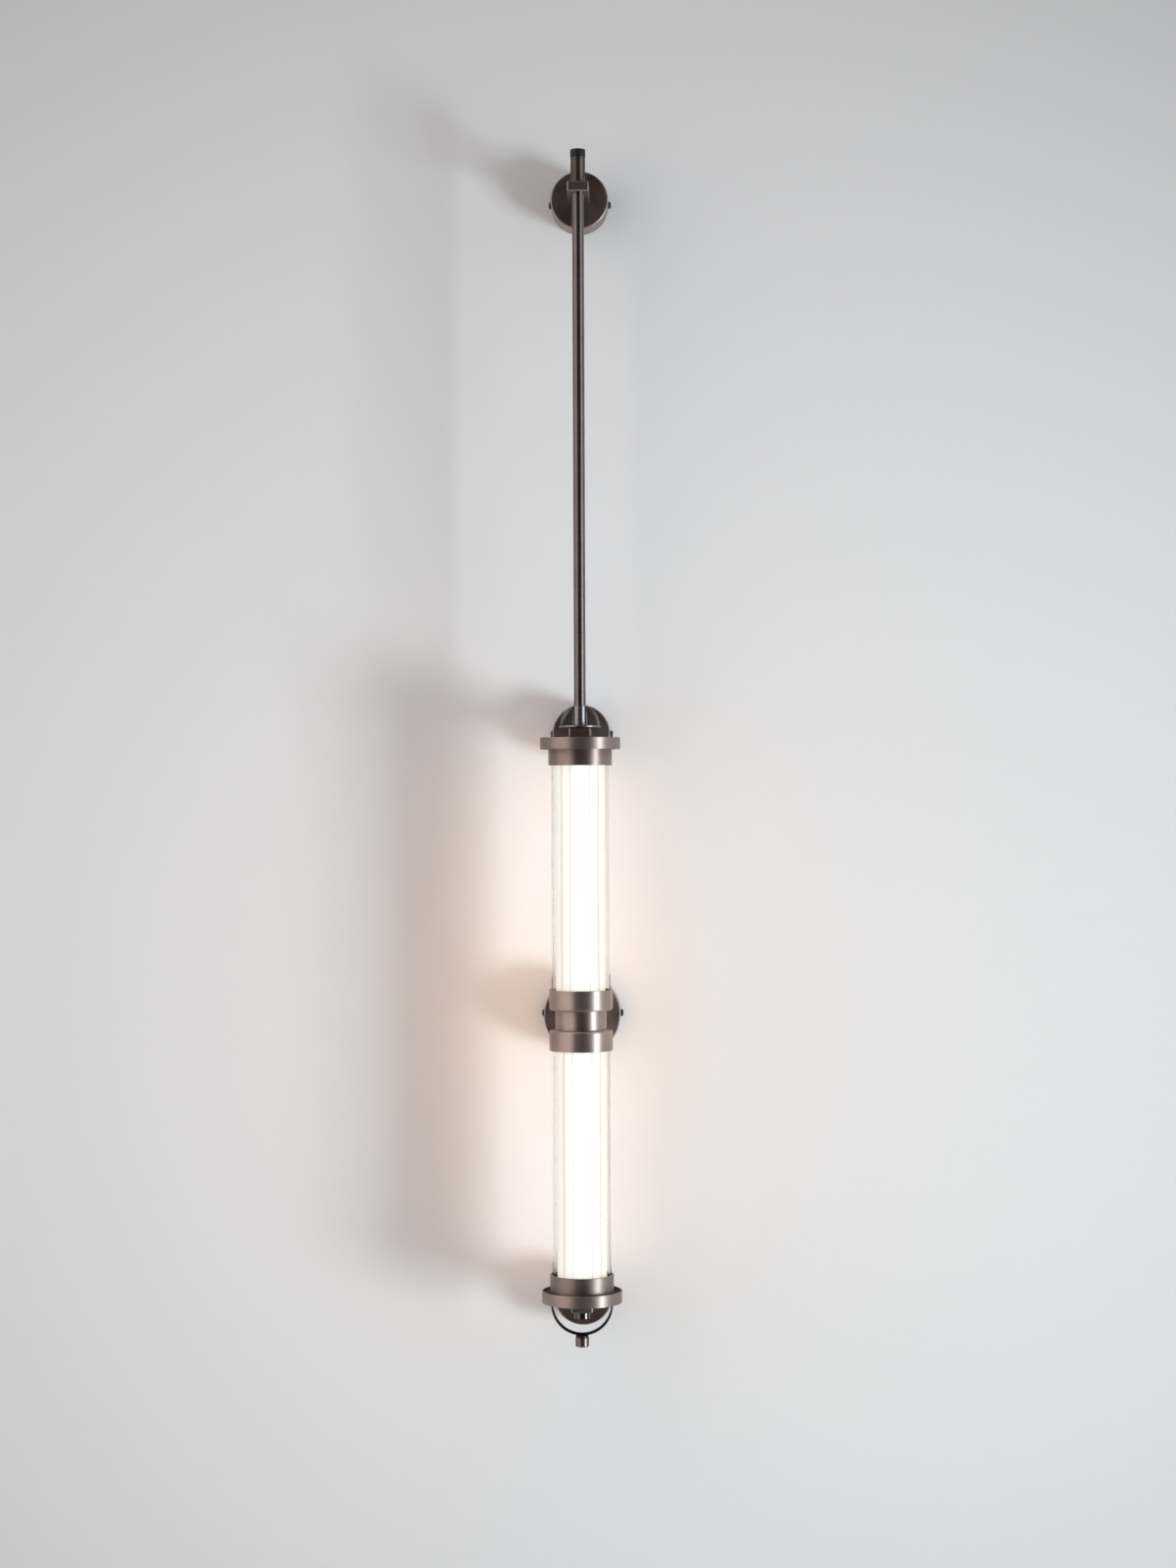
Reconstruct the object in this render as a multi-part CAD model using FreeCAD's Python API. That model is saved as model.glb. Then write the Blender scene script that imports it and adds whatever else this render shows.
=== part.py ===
import FreeCAD, Part
import math
import os

# Wall light: two lit glass tubes stand one above the other on one tie rod.
# A stem carries on up from them, and four round roses hold the whole to the wall.
# Millimetres. The origin is on the wall, at the centre of the middle rose.
# +Z is up, +X is to the right as seen from the room, and the room is towards -Y.

# Fits
screw_fit = 0.05             # around every screw, rod and nipple in its hole
running_fit = 0.05           # around what turns or slides
cut_overrun = 1.0            # how far a cutter passes the face it leaves
same_place = 0.001           # two places closer than this are the same
edge_break = 0.5             # small bevel on turned and milled edges

# Lamp axis and the pieces stacked along it, from the middle outwards
lamp_projection = 98.0       # wall to the axis of the glass tubes
sleeve_radius = 26.0
sleeve_wall = 3.0
sleeve_height = 20.0
band_radius = 32.5
band_wall = 2.0
band_height = 21.0
band_floor = 3.0
band_rounding = 3.0
glass_visible = 228.5        # length of each tube that shows between its two cups
collar_radius = 32.5
collar_wall = 2.0
collar_floor = 2.0
collar_reach = 16.5          # how far the collar stands out of the ring
ring_radius = 41.0
ring_wall = 1.5
ring_floor = 2.0
ring_height = 12.0

# Glass tube with convex ribs, the opal tube in it and the seals at their ends
glass_radius = 30.0          # at the crest of a rib
glass_valley_depth = 1.2
glass_bore_radius = 26.8
glass_rib_count = 18
lower_glass_turn = 3.0       # degrees that the lower tube stands turned
diffuser_radius = 25.0
diffuser_wall = 2.0
gasket_thickness = 2.0
gasket_gap = 0.1             # around the gasket, in its cup

# Light source: an aluminium core with a strip on each of its four sides
core_width = 20.0
core_bevel = 1.5
core_side_count = 4
core_bore_gap = 0.5          # around the tie rod
strip_width = 8.0
strip_thickness = 1.2
strip_end_gap = 2.0          # from the end of the core to the end of a strip

# Tie rod through the whole lamp, and the cap nut under it
tie_rod_radius = 4.0
tie_rod_in_coupler = 9.0
tie_rod_in_nut = 5.2
nut_radius = 8.0
nut_height = 6.7
nut_end_gap = 0.3            # between the rod's end and the nut's blind bore

# Arms between the roses and the lamp
arm_width = 22.0
arm_height = 10.0
arm_nose = 11.0              # past the lamp axis
arm_bolt_radius = 2.0
arm_bolt_spacing = 12.0
arm_bolt_in_arm = 10.0
arm_bolt_head_radius = 3.5
arm_bolt_head_height = 2.6
arm_bolt_end_gap = 0.5

# Roses and the wall brackets in them
rose_radius = 30.0
middle_rose_radius = 40.0
rose_depth = 36.0
rose_wall = 1.5
rose_face = 2.5
bracket_gap = 0.5            # between bracket and rose
bracket_thickness = 2.0
bracket_strip_width = 20.0   # the small brackets are strips
bracket_ear_width = 10.0
bracket_ear_reach = 11.0
wall_hole_radius = 2.25
wall_hole_spacing = 30.0
middle_wall_hole_spacing = 60.0
cable_hole_radius = 7.0
rose_screw_setback = 6.0     # from the wall to the side screws
rose_screw_radius = 2.0
rose_screw_length = 6.0
rose_screw_head_radius = 3.7
rose_screw_head_height = 2.7
rose_screw_head_rounding = 1.8
rose_screw_socket_radius = 1.4
rose_screw_socket_depth = 1.3

# Hollow nipple that clamps the middle rose, its arm and the sleeve, and its nuts
nipple_radius = 4.0
nipple_bore_radius = 2.6
nipple_end = 1.5             # past each nut
nipple_nut_radius = 7.5
nipple_nut_height = 4.0

# Driver and terminal block in the middle rose
driver_width = 44.0
driver_height = 20.0
driver_depth = 16.0
driver_lift = 9.0            # from the rose's centre up to the driver
driver_rounding = 1.5
terminal_width = 24.0
terminal_height = 12.0
terminal_depth = 12.0
terminal_drop = 15.0         # from the rose's centre down to the block
terminal_well_radius = 2.0
terminal_well_depth = 5.0
terminal_well_spacing = 7.0
terminal_well_count = 3

# Leads from the driver to the two light sources
lead_radius = 0.9
lead_offset = 1.1
lead_bend = 4.0
lead_rise_on_driver = 4.0
lead_stand_off = 5.0         # from the driver's face to the first bend's corner
lead_on_strip = 4.0
lead_hole_gap = 0.7          # around both leads, in the floor of a band

# Stem, its coupler, the plate on the upper arm and the two ribs of the arch
stem_radius = 6.0
stem_wall = 1.5
stem_visible = 524.0
stem_seat = 9.0              # in the coupler
stem_in_top_sleeve = 12.0
coupler_radius = 7.4
coupler_height = 20.0
arch_plate_radius = 21.2
arch_plate_thickness = 2.0
arch_radius = 19.5
arch_thickness = 3.0
arch_foot = 2.0              # straight part of a rib, above the plate
arch_depth = 10.0
top_sleeve_radius = 7.5
top_sleeve_height = 26.0
end_cap_radius = 7.75
end_cap_height = 8.0
end_cap_plug = 3.0
end_cap_bevel = 0.8
grub_screw_radius = 2.0
grub_socket_radius = 1.1
grub_socket_depth = 2.0

# Hoop under the lower ring, with its lugs, pins, washer and finial
hoop_radius = 31.5
hoop_thickness = 2.0
hoop_depth = 4.4
hoop_pivot_drop = 2.6        # from the ring down to the pins
hoop_side_gap = 0.3          # between lug and hoop
pin_radius = 1.0
pin_head_radius = 1.9
pin_head_thickness = 1.0
pin_head_gap = 0.2           # between hoop and pin head
lug_thickness = 3.8
lug_depth = 6.0
lug_height = 5.2
lug_rounding = 1.5
washer_radius = 6.5
washer_thickness = 2.0
finial_radius = 7.0
finial_height = 9.5
finial_rounding = 1.4
finial_stud_radius = 1.5

# Heights and places that follow
sleeve_top = sleeve_height / 2
band_top = sleeve_top + band_height
collar_low = band_top + glass_visible
ring_low = collar_low + collar_reach
ring_top = ring_low + ring_height
collar_top = ring_top - ring_floor
glass_low = sleeve_top + band_floor + gasket_thickness
glass_high = collar_top - collar_floor - gasket_thickness
arm_top = ring_top + arm_height
end_arm_height = ring_top + arm_height / 2
arch_plate_top = arm_top + arch_plate_thickness
coupler_top = arch_plate_top + coupler_height
top_arm_low = coupler_top + stem_visible
top_arm_top = top_arm_low + arm_height
top_arm_height = top_arm_low + arm_height / 2
top_sleeve_top = top_arm_top + top_sleeve_height
hoop_pivot_height = -ring_top - hoop_pivot_drop
hoop_bottom = hoop_pivot_height - hoop_radius
finial_top = hoop_bottom - washer_thickness
lamp_y = -lamp_projection
rose_front = -rose_depth
rose_inside = rose_front + rose_face
bracket_front = -bracket_thickness
tie_rod_hole_radius = tie_rod_radius + screw_fit
lead_y = lamp_y + core_width / 2 + strip_thickness + lead_radius

RIGHT = FreeCAD.Vector(1, 0, 0)
ROOM = FreeCAD.Vector(0, -1, 0)
UP = FreeCAD.Vector(0, 0, 1)


def upright(radius, low, high, x=0, y=lamp_y):
    """Cylinder along Z between two heights."""
    return Part.makeCylinder(radius, high - low, FreeCAD.Vector(x, y, low), UP)


def forward(radius, back, front, x=0, z=0):
    """Cylinder along Y from back, near the wall, to front, near the room."""
    return Part.makeCylinder(radius, back - front, FreeCAD.Vector(x, back, z), ROOM)


def sideways(radius, left, right, y=lamp_y, z=0):
    """Cylinder along X between two sides."""
    return Part.makeCylinder(radius, right - left, FreeCAD.Vector(left, y, z), RIGHT)


def block(left, right, front, back, low, high):
    """Box between six planes."""
    corner = FreeCAD.Vector(left, front, low)
    return Part.makeBox(right - left, back - front, high - low, corner)


def turned(outline):
    """Solid turned about the lamp axis from corners given as radius and height."""
    corners = [FreeCAD.Vector(radius, lamp_y, height) for radius, height in outline]
    face = Part.Face(Part.makePolygon(corners + corners[:1]))
    return face.revolve(FreeCAD.Vector(0, lamp_y, 0), UP, 360)


def hexagon(radius, start, direction, depth):
    """Six-sided prism, as large over its corners as a circle of the radius."""
    spin = FreeCAD.Rotation(UP, direction)
    corners = []
    for corner in range(6):
        angle = math.radians(60 * corner)
        flat = FreeCAD.Vector(radius * math.cos(angle), radius * math.sin(angle), 0)
        corners.append(start + spin.multVec(flat))
    face = Part.Face(Part.makePolygon(corners + corners[:1]))
    return face.extrude(direction * depth)


def circle_edges(shape, radius, along, place):
    """Edges on a circle of one radius that lies at one place along an axis."""
    found = []
    for edge in shape.Edges:
        curve = edge.Curve
        if not isinstance(curve, Part.Circle):
            continue
        same_size = abs(curve.Radius - radius) < same_place
        if same_size and abs(curve.Center.dot(along) - place) < same_place:
            found.append(edge)
    return found


def bevel(shape, radius, place, size=edge_break, along=UP):
    """The shape with one round edge bevelled."""
    return shape.makeChamfer(size, circle_edges(shape, radius, along, place))


def rounded(shape, radius, place, size, along=UP):
    """The shape with one round edge rounded."""
    return shape.makeFillet(size, circle_edges(shape, radius, along, place))


def mirrored(shape):
    """The same piece in the lower half of the lamp."""
    return shape.mirror(FreeCAD.Vector(0, 0, 0), UP)


def group(solids):
    """Separate solids kept together as one node."""
    return Part.makeCompound(solids)


def make_rose(radius, height, hole_radius, hole_places):
    """Round cover, open at the wall, with a bevelled face and two side holes."""
    shell = forward(radius, 0, rose_front, z=height)
    shell = bevel(shell, radius, -rose_front, along=ROOM)
    inside = forward(radius - rose_wall, cut_overrun, rose_inside, z=height)
    shell = shell.cut(inside)
    for x in hole_places:
        hole = forward(hole_radius, rose_inside + cut_overrun, rose_front - cut_overrun, x, height)
        shell = shell.cut(hole)
    reach = radius + cut_overrun
    side_holes = sideways(rose_screw_radius + screw_fit, -reach, reach, -rose_screw_setback, height)
    return shell.cut(side_holes)


def make_wall_bracket(radius, height, spacing):
    """Round plate on the wall, with two ears that the rose's side screws go into."""
    edge = radius - rose_wall - bracket_gap
    plate = forward(edge, 0, bracket_front, z=height)
    ear_side = math.sqrt(edge ** 2 - (bracket_ear_width / 2) ** 2)
    low = height - bracket_ear_width / 2
    high = height + bracket_ear_width / 2
    ear = block(ear_side - bracket_thickness, ear_side, -bracket_ear_reach, 0, low, high)
    other_ear = block(-ear_side, bracket_thickness - ear_side, -bracket_ear_reach, 0, low, high)
    bracket = plate.fuse([ear, other_ear]).removeSplitter()
    screw_holes = sideways(rose_screw_radius + screw_fit, -edge, edge, -rose_screw_setback, height)
    bracket = bracket.cut(screw_holes)
    for x in (-spacing / 2, spacing / 2):
        bracket = bracket.cut(forward(wall_hole_radius, cut_overrun, bracket_front - cut_overrun, x, height))
    return bracket


def make_small_bracket(height):
    """Strip out of the middle of a round bracket, across the back of a small rose."""
    bracket = make_wall_bracket(rose_radius, height, wall_hole_spacing)
    low = height - bracket_strip_width / 2
    strip = block(-rose_radius, rose_radius, -rose_depth, 0, low, low + bracket_strip_width)
    return bracket.common(strip)


def make_middle_bracket():
    """Round bracket with a hole for the supply cable."""
    bracket = make_wall_bracket(middle_rose_radius, 0, middle_wall_hole_spacing)
    return bracket.cut(forward(cable_hole_radius, cut_overrun, bracket_front - cut_overrun))


def make_rose_screw(side, radius, height):
    """Domed side screw with a six-sided socket, on the left or the right."""
    face = radius
    tip = radius - rose_screw_length
    crown = radius + rose_screw_head_height
    head = sideways(rose_screw_head_radius, face, crown, -rose_screw_setback, height)
    head = rounded(head, rose_screw_head_radius, crown, rose_screw_head_rounding, along=RIGHT)
    shank = sideways(rose_screw_radius, tip, face, -rose_screw_setback, height)
    screw = head.fuse(shank).removeSplitter()
    socket_start = FreeCAD.Vector(crown - rose_screw_socket_depth, -rose_screw_setback, height)
    socket_length = rose_screw_socket_depth + cut_overrun
    screw = screw.cut(hexagon(rose_screw_socket_radius, socket_start, RIGHT, socket_length))
    if side < 0:
        screw = screw.mirror(FreeCAD.Vector(0, 0, 0), RIGHT)
    return screw


def make_rose_screws(radius, height):
    return group([make_rose_screw(side, radius, height) for side in (-1, 1)])


def bolt_places():
    return (-arm_bolt_spacing / 2, arm_bolt_spacing / 2)


def make_arm(height, hole_radius):
    """Bar from a rose to just past the lamp axis, with its upright hole."""
    low = height - arm_height / 2
    high = height + arm_height / 2
    nose = lamp_y - arm_nose
    bar = block(-arm_width / 2, arm_width / 2, nose, rose_front, low, high)
    free_edges = [edge for edge in bar.Edges if edge.BoundBox.YMin < rose_front - same_place]
    bar = bar.makeChamfer(edge_break, free_edges)
    bar = bar.cut(upright(hole_radius, low - cut_overrun, high + cut_overrun))
    for x in bolt_places():
        depth = rose_front - arm_bolt_in_arm - arm_bolt_end_gap
        bar = bar.cut(forward(arm_bolt_radius + screw_fit, rose_front + cut_overrun, depth, x, height))
    return bar


def make_arm_bolts(height):
    """Two bolts whose heads lie inside the rose and whose shanks end in the arm."""
    bolts = []
    for x in bolt_places():
        head_back = rose_inside + arm_bolt_head_height
        head = forward(arm_bolt_head_radius, head_back, rose_inside, x, height)
        shank = forward(arm_bolt_radius, rose_inside, rose_front - arm_bolt_in_arm, x, height)
        bolts.append(head.fuse(shank).removeSplitter())
    return group(bolts)


def make_middle_arm():
    """Bar from the middle rose to the sleeve, hollowed at its end to fit the sleeve."""
    bar = block(-arm_width / 2, arm_width / 2, lamp_y, rose_front, -arm_height / 2, arm_height / 2)
    long_edges = [edge for edge in bar.Edges if edge.BoundBox.YLength > arm_width]
    bar = bar.makeChamfer(edge_break, long_edges)
    bar = bar.cut(upright(sleeve_radius, -sleeve_top, sleeve_top))
    return bar.cut(forward(nipple_radius + screw_fit, rose_front + cut_overrun, lamp_y))


def make_sleeve():
    """Short tube between the two bands, with a hole at the back for the nipple."""
    sleeve = turned([
        (sleeve_radius - sleeve_wall, -sleeve_top),
        (sleeve_radius, -sleeve_top),
        (sleeve_radius, sleeve_top),
        (sleeve_radius - sleeve_wall, sleeve_top),
    ])
    return sleeve.cut(forward(nipple_radius + screw_fit, lamp_y + sleeve_radius, lamp_y))


def nipple_nut_seat():
    """Where the nut's corners meet the curved inside of the sleeve."""
    inside = sleeve_radius - sleeve_wall
    return lamp_y + math.sqrt(inside ** 2 - nipple_nut_radius ** 2)


def make_nipple():
    back = rose_inside + nipple_nut_height + nipple_end
    front = nipple_nut_seat() - nipple_nut_height - nipple_end
    rod = forward(nipple_radius, back, front)
    return rod.cut(forward(nipple_bore_radius, back + cut_overrun, front - cut_overrun))


def make_nipple_nuts():
    nuts = []
    for back in (rose_inside + nipple_nut_height, nipple_nut_seat()):
        start = FreeCAD.Vector(0, back, 0)
        nut = hexagon(nipple_nut_radius, start, ROOM, nipple_nut_height)
        hole = forward(nipple_radius + screw_fit, back + cut_overrun, back - nipple_nut_height - cut_overrun)
        nuts.append(nut.cut(hole))
    return group(nuts)


def make_band():
    """Cup on the sleeve that the inner end of a glass tube stands in."""
    inner = band_radius - band_wall
    floor = sleeve_top + band_floor
    band = turned([
        (tie_rod_hole_radius, sleeve_top),
        (band_radius, sleeve_top),
        (band_radius, band_top),
        (inner, band_top),
        (inner, floor),
        (tie_rod_hole_radius, floor),
    ])
    band = rounded(band, band_radius, sleeve_top, band_rounding)
    band = bevel(band, band_radius, band_top, edge_break)
    lead_hole = upright(lead_offset + lead_radius + lead_hole_gap, sleeve_top - cut_overrun,
                        floor + cut_overrun, y=lead_y)
    return band.cut(lead_hole)


def make_collar():
    """Cup in the ring that the outer end of a glass tube stands in."""
    inner = collar_radius - collar_wall
    ceiling = collar_top - collar_floor
    collar = turned([
        (tie_rod_hole_radius, collar_top),
        (collar_radius, collar_top),
        (collar_radius, collar_low),
        (inner, collar_low),
        (inner, ceiling),
        (tie_rod_hole_radius, ceiling),
    ])
    return bevel(collar, collar_radius, collar_low, edge_break)


def make_ring():
    """Shallow wide cup around the root of the collar, open towards the glass."""
    inner = ring_radius - ring_wall
    ceiling = ring_top - ring_floor
    ring = turned([
        (tie_rod_hole_radius, ring_top),
        (ring_radius, ring_top),
        (ring_radius, ring_low),
        (inner, ring_low),
        (inner, ceiling),
        (tie_rod_hole_radius, ceiling),
    ])
    ring = bevel(ring, ring_radius, ring_top, edge_break)
    return bevel(ring, ring_radius, ring_low, edge_break)


def make_glass():
    """Tube whose outside is a round of convex ribs, meeting in sharp valleys."""
    valley = glass_radius - glass_valley_depth
    pitch = 2 * math.pi / glass_rib_count

    def place(radius, angle):
        x = radius * math.sin(angle)
        y = lamp_y - radius * math.cos(angle)
        return FreeCAD.Vector(x, y, glass_low)

    arcs = []
    for rib in range(glass_rib_count):
        start = rib * pitch
        crest = place(glass_radius, start + pitch / 2)
        arcs.append(Part.Arc(place(valley, start), crest, place(valley, start + pitch)).toShape())
    ribbed = Part.Face(Part.Wire(arcs)).extrude(UP * (glass_high - glass_low))
    bore = upright(glass_bore_radius, glass_low - cut_overrun, glass_high + cut_overrun)
    return ribbed.cut(bore)


def make_lower_glass():
    glass = mirrored(make_glass())
    glass.rotate(FreeCAD.Vector(0, lamp_y, 0), UP, lower_glass_turn)
    return glass


def make_diffuser():
    tube = upright(diffuser_radius, glass_low, glass_high)
    return tube.cut(upright(diffuser_radius - diffuser_wall, glass_low - cut_overrun,
                            glass_high + cut_overrun))


def make_gaskets():
    """Flat seals under and over the two tubes, one at each end."""
    outer = min(band_radius - band_wall, collar_radius - collar_wall) - gasket_gap
    inner = diffuser_radius - diffuser_wall
    seals = []
    for low in (glass_low - gasket_thickness, glass_high):
        high = low + gasket_thickness
        seal = upright(outer, low, high)
        seals.append(seal.cut(upright(inner, low - cut_overrun, high + cut_overrun)))
    return group(seals)


def make_core():
    """Square bar with bevelled edges and a bore for the tie rod."""
    half = core_width / 2
    low = sleeve_top + band_floor
    high = collar_top - collar_floor
    bar = block(-half, half, lamp_y - half, lamp_y + half, low, high)
    long_edges = [edge for edge in bar.Edges if edge.BoundBox.ZLength > core_width]
    bar = bar.makeChamfer(core_bevel, long_edges)
    bore_radius = tie_rod_radius + core_bore_gap
    return bar.cut(upright(bore_radius, low - cut_overrun, high + cut_overrun))


def make_strips():
    """One light strip on each side of the core."""
    half = core_width / 2
    low = sleeve_top + band_floor + strip_end_gap
    high = collar_top - collar_floor - strip_end_gap
    strips = []
    for side in range(core_side_count):
        strip = block(half, half + strip_thickness, lamp_y - strip_width / 2,
                      lamp_y + strip_width / 2, low, high)
        strip.rotate(FreeCAD.Vector(0, lamp_y, 0), UP, side * 360 / core_side_count)
        strips.append(strip)
    return group(strips)


def make_lead(x, end_height):
    """Wire along straight runs joined by round bends, all in one upright plane."""
    start_height = driver_lift + lead_rise_on_driver
    driver_face = bracket_front - driver_depth
    corner_y = driver_face - lead_stand_off
    route = [
        FreeCAD.Vector(x, driver_face, start_height),
        FreeCAD.Vector(x, corner_y, start_height),
        FreeCAD.Vector(x, corner_y, 0),
        FreeCAD.Vector(x, lead_y, 0),
        FreeCAD.Vector(x, lead_y, end_height),
    ]
    edges = []
    here = route[0]
    for corner in range(1, len(route) - 1):
        before = (route[corner - 1] - route[corner]).normalize()
        after = (route[corner + 1] - route[corner]).normalize()
        bend_start = route[corner] + before * lead_bend
        bend_end = route[corner] + after * lead_bend
        centre = route[corner] + (before + after) * lead_bend
        middle = centre - (before + after).normalize() * lead_bend
        edges.append(Part.LineSegment(here, bend_start).toShape())
        edges.append(Part.Arc(bend_start, middle, bend_end).toShape())
        here = bend_end
    edges.append(Part.LineSegment(here, route[-1]).toShape())
    section = Part.Wire(Part.makeCircle(lead_radius, route[0], ROOM))
    return Part.Wire(edges).makePipeShell([section], True, False)


def make_driver():
    front = bracket_front - driver_depth
    case = block(-driver_width / 2, driver_width / 2, front, bracket_front,
                 driver_lift, driver_lift + driver_height)
    free_edges = [edge for edge in case.Edges if edge.BoundBox.YMin < bracket_front - same_place]
    return case.makeFillet(driver_rounding, free_edges)


def make_terminal_block():
    """Block with a row of screw wells in its front."""
    front = bracket_front - terminal_depth
    case = block(-terminal_width / 2, terminal_width / 2, front, bracket_front,
                 -terminal_drop - terminal_height, -terminal_drop)
    middle = -terminal_drop - terminal_height / 2
    first = -terminal_well_spacing * (terminal_well_count - 1) / 2
    for well in range(terminal_well_count):
        x = first + well * terminal_well_spacing
        case = case.cut(forward(terminal_well_radius, front + terminal_well_depth,
                                front - cut_overrun, x, middle))
    return case


def make_tie_rod():
    low = -arm_top - tie_rod_in_nut
    high = arch_plate_top + tie_rod_in_coupler
    return upright(tie_rod_radius, low, high)


def make_lower_nut():
    """Round cap nut on the lower end of the tie rod."""
    low = -arm_top - nut_height
    nut = bevel(upright(nut_radius, low, -arm_top), nut_radius, low, edge_break)
    bore_end = -arm_top - tie_rod_in_nut - nut_end_gap
    return nut.cut(upright(tie_rod_hole_radius, bore_end, -arm_top + cut_overrun))


def make_arch_plate():
    plate = upright(arch_plate_radius, arm_top, arch_plate_top)
    return plate.cut(upright(tie_rod_hole_radius, arm_top - cut_overrun, arch_plate_top + cut_overrun))


def make_arch_ribs():
    """Two ribs that rise straight from the plate, curve inwards and end against the coupler."""
    arch = arch_outline(arch_radius).cut(arch_outline(arch_radius - arch_thickness))
    middle = upright(coupler_radius, arch_plate_top - cut_overrun, coupler_top + cut_overrun)
    return group(arch.cut(middle).removeSplitter().Solids)


def arch_outline(radius):
    """Straight foot with a half circle on it, no higher than the coupler."""
    back = lamp_y + arch_depth / 2
    front = lamp_y - arch_depth / 2
    spring = arch_plate_top + arch_foot
    foot = block(-radius, radius, front, back, arch_plate_top, spring)
    curve = forward(radius, back, front, z=spring)
    return foot.fuse(curve.common(block(-radius, radius, front, back, spring, coupler_top)))


def make_coupler():
    """Round nut that joins the tie rod, from below, to the stem, from above."""
    seat = coupler_top - stem_seat
    coupler = upright(coupler_radius, arch_plate_top, coupler_top)
    coupler = bevel(coupler, coupler_radius, coupler_top, edge_break)
    coupler = coupler.cut(upright(tie_rod_hole_radius, arch_plate_top - cut_overrun, seat + cut_overrun))
    return coupler.cut(upright(stem_radius + screw_fit, seat, coupler_top + cut_overrun))


def make_stem():
    low = coupler_top - stem_seat
    high = top_arm_top + stem_in_top_sleeve
    return upright(stem_radius, low, high).cut(
        upright(stem_radius - stem_wall, low - cut_overrun, high + cut_overrun))


def make_top_arm():
    """Arm that slides on the stem, with a side hole for the grub screw."""
    arm = make_arm(top_arm_height, stem_radius + running_fit)
    hole = sideways(grub_screw_radius + screw_fit, 0, arm_width, lamp_y, top_arm_height)
    return arm.cut(hole)


def make_grub_screw():
    tip = stem_radius + running_fit + screw_fit
    outside = arm_width / 2 - edge_break
    screw = sideways(grub_screw_radius, tip, outside, lamp_y, top_arm_height)
    start = FreeCAD.Vector(outside - grub_socket_depth, lamp_y, top_arm_height)
    return screw.cut(hexagon(grub_socket_radius, start, RIGHT, grub_socket_depth + cut_overrun))


def make_top_sleeve():
    sleeve = upright(top_sleeve_radius, top_arm_top, top_sleeve_top)
    return sleeve.cut(upright(stem_radius + running_fit, top_arm_top - cut_overrun,
                              top_sleeve_top + cut_overrun))


def make_end_cap():
    """Cap over the sleeve, with a plug that sits in the sleeve's bore."""
    top = top_sleeve_top + end_cap_height
    cap = bevel(upright(end_cap_radius, top_sleeve_top, top), end_cap_radius, top, end_cap_bevel)
    plug = upright(stem_radius + running_fit, top_sleeve_top - end_cap_plug, top_sleeve_top)
    return cap.fuse(plug).removeSplitter()


def hoop_sides():
    """Sides of lug, hoop and pin head, from the inside outwards."""
    lug_outside = hoop_radius - hoop_thickness - hoop_side_gap
    head_inside = hoop_radius + pin_head_gap
    return lug_outside - lug_thickness, lug_outside, head_inside, head_inside + pin_head_thickness


def make_hoop_lugs():
    lug_inside, lug_outside, _, _ = hoop_sides()
    low = -ring_top - lug_height
    lug = block(lug_inside, lug_outside, lamp_y - lug_depth / 2, lamp_y + lug_depth / 2, low, -ring_top)
    low_edges = [edge for edge in lug.Edges
                 if edge.BoundBox.ZMax < low + same_place and edge.BoundBox.YLength < same_place]
    lug = lug.makeFillet(lug_rounding, low_edges)
    lug = lug.cut(sideways(pin_radius, lug_inside - cut_overrun, lug_outside + cut_overrun,
                           z=hoop_pivot_height))
    return group([lug, lug.mirror(FreeCAD.Vector(0, 0, 0), RIGHT)])


def make_hoop_pins():
    """Headed pins that sit in the lugs and that the hoop swings on."""
    lug_inside, _, head_inside, head_outside = hoop_sides()
    shank = sideways(pin_radius, lug_inside, head_inside, z=hoop_pivot_height)
    head = sideways(pin_head_radius, head_inside, head_outside, z=hoop_pivot_height)
    pin = shank.fuse(head).removeSplitter()
    return group([pin, pin.mirror(FreeCAD.Vector(0, 0, 0), RIGHT)])


def make_hoop():
    """Half ring of flat strap with rounded ends, hung on the two pins."""
    front = lamp_y - hoop_depth / 2
    back = lamp_y + hoop_depth / 2
    reach = hoop_radius + cut_overrun
    full = forward(hoop_radius, back, front, z=hoop_pivot_height)
    full = full.cut(forward(hoop_radius - hoop_thickness, back, front, z=hoop_pivot_height))
    lower_half = block(-reach, reach, front, back, hoop_pivot_height - reach, hoop_pivot_height)
    ends = sideways(hoop_depth / 2, -reach, reach, z=hoop_pivot_height)
    hoop = full.common(lower_half.fuse(ends)).removeSplitter()
    hoop = hoop.cut(sideways(pin_radius + running_fit, -reach, reach, z=hoop_pivot_height))
    stud_hole = upright(finial_stud_radius + running_fit, hoop_bottom - cut_overrun,
                        hoop_bottom + hoop_thickness + cut_overrun)
    return hoop.cut(stud_hole)


def make_finial_washer():
    washer = upright(washer_radius, finial_top, hoop_bottom)
    return washer.cut(upright(finial_stud_radius + running_fit, finial_top - cut_overrun,
                              hoop_bottom + cut_overrun))


def make_finial():
    """Round knob on a stud that passes up through the washer and the hoop."""
    low = finial_top - finial_height
    knob = rounded(upright(finial_radius, low, finial_top), finial_radius, low, finial_rounding)
    knob = bevel(knob, finial_radius, finial_top, edge_break)
    stud = upright(finial_stud_radius, finial_top, hoop_bottom + hoop_thickness)
    return knob.fuse(stud).removeSplitter()


def rose_nodes(name, height):
    """Rose, bracket, screws and bolts of one of the three small fixings."""
    return {
        name + "_wall_bracket": make_small_bracket(height),
        name + "_rose": make_rose(rose_radius, height, arm_bolt_radius + screw_fit, bolt_places()),
        name + "_rose_screws": make_rose_screws(rose_radius, height),
        name + "_arm_bolts": make_arm_bolts(height),
    }


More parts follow.
